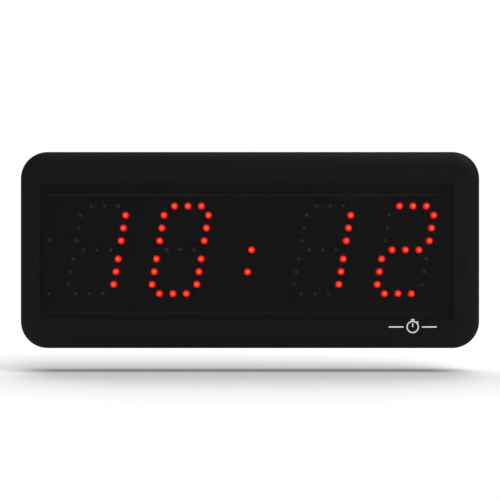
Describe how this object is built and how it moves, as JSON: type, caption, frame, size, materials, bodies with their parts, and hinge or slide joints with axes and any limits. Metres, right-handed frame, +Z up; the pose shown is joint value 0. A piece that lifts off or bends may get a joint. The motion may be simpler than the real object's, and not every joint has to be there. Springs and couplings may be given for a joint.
{
  "type": "gym round timer",
  "caption": "Wall-mounted four-digit lamp timer behind a smoked front cover, hung on a steel hook bracket, with push buttons underneath.",
  "frame": {"origin": "centre of the wall bracket's back face, on the wall", "axes": "+Y into the wall, so the display faces -Y; +Z up; +X to the right of someone reading the display"},
  "size_m": [0.341, 0.0501, 0.146],
  "materials": {
    "smoked_cover": "satin, dark translucent",
    "print_white": "pad print",
    "black_abs": "fine texture",
    "black_mask": "matt",
    "black_button": "satin",
    "board_black": "solder mask",
    "board_green": "solder mask",
    "lamp_lit": "lit lens",
    "lamp_unlit": "clear lens",
    "solder": "bright",
    "chip_black": "matt",
    "screw_black": "black oxide",
    "screw_zinc": "zinc plate",
    "bracket_steel": "zinc plate",
    "plate_silver": "printed foil",
    "rubber_black": "matt",
    "terminal_green": "matt",
    "fuse_glass": "clear",
    "can_sleeve": "sleeve",
    "cell_steel": "bright",
    "plug_white": "natural",
    "plunger_red": "satin",
    "wire_grey": "ribbon",
    "wire_red": "insulation"
  },
  "bodies": {
    "bracket": {"wall_bracket": "bracket_steel"},
    "case": {"front_cover": "smoked_cover", "front_mark": "print_white", "mask_frame": "black_mask", "display_board": "board_black", "remote_receiver": "chip_black", "lamp_solder_joints": "solder", "display_driver_chips": "chip_black", "display_board_screws": "screw_black", "rear_housing": "black_abs", "case_screws": "screw_black", "rating_plate": "plate_silver", "wall_bumpers": "rubber_black", "cable_grommet": "rubber_black", "digit_1_lit_lamps": "lamp_lit", "digit_1_unlit_lamps": "lamp_unlit", "digit_2_lit_lamps": "lamp_lit", "digit_2_unlit_lamps": "lamp_unlit", "digit_3_lit_lamps": "lamp_lit", "digit_3_unlit_lamps": "lamp_unlit", "digit_4_lit_lamps": "lamp_lit", "digit_4_unlit_lamps": "lamp_unlit", "colon_lamps": "lamp_lit", "indicator_lamps": "lamp_unlit", "power_board": "board_green", "power_module": "chip_black", "mains_terminal_block": "terminal_green", "signal_terminal_block": "terminal_green", "terminal_screws": "screw_zinc", "fuse": "fuse_glass", "fuse_clips": "solder", "capacitors": "can_sleeve", "control_board": "board_green", "control_chips": "chip_black", "crystal": "cell_steel", "cell_holder": "chip_black", "backup_cell": "cell_steel", "sounder": "chip_black", "sounder_seal": "rubber_black", "button_board": "board_green", "switch_bodies": "chip_black", "board_screws": "screw_zinc", "start_switch_spring": "cell_steel", "set_switch_spring": "cell_steel", "ribbon_cable": "wire_grey", "ribbon_connectors": "chip_black", "link_cable": "wire_grey", "link_connectors": "plug_white", "button_lead": "wire_red", "sounder_lead": "wire_red", "lead_connectors": "plug_white"},
    "start_button": {"start_button_cap": "black_button", "start_switch_plunger": "plunger_red"},
    "set_button": {"set_button_cap": "black_button", "set_switch_plunger": "plunger_red"}
  },
  "joints": [
    {"name": "lift_off", "type": "slide", "parent": "bracket", "child": "case", "axis": [0, 0, 1], "range_m": [0, 0.009]},
    {"name": "start_button_press", "type": "slide", "parent": "case", "child": "start_button", "axis": [0, 0, 1], "range_m": [0, 0.001], "stiffness_N_per_m": 500, "springref_m": -0.002, "deforming": ["start_switch_spring"]},
    {"name": "set_button_press", "type": "slide", "parent": "case", "child": "set_button", "axis": [0, 0, 1], "range_m": [0, 0.001], "stiffness_N_per_m": 500, "springref_m": -0.002, "deforming": ["set_switch_spring"]}
  ]
}
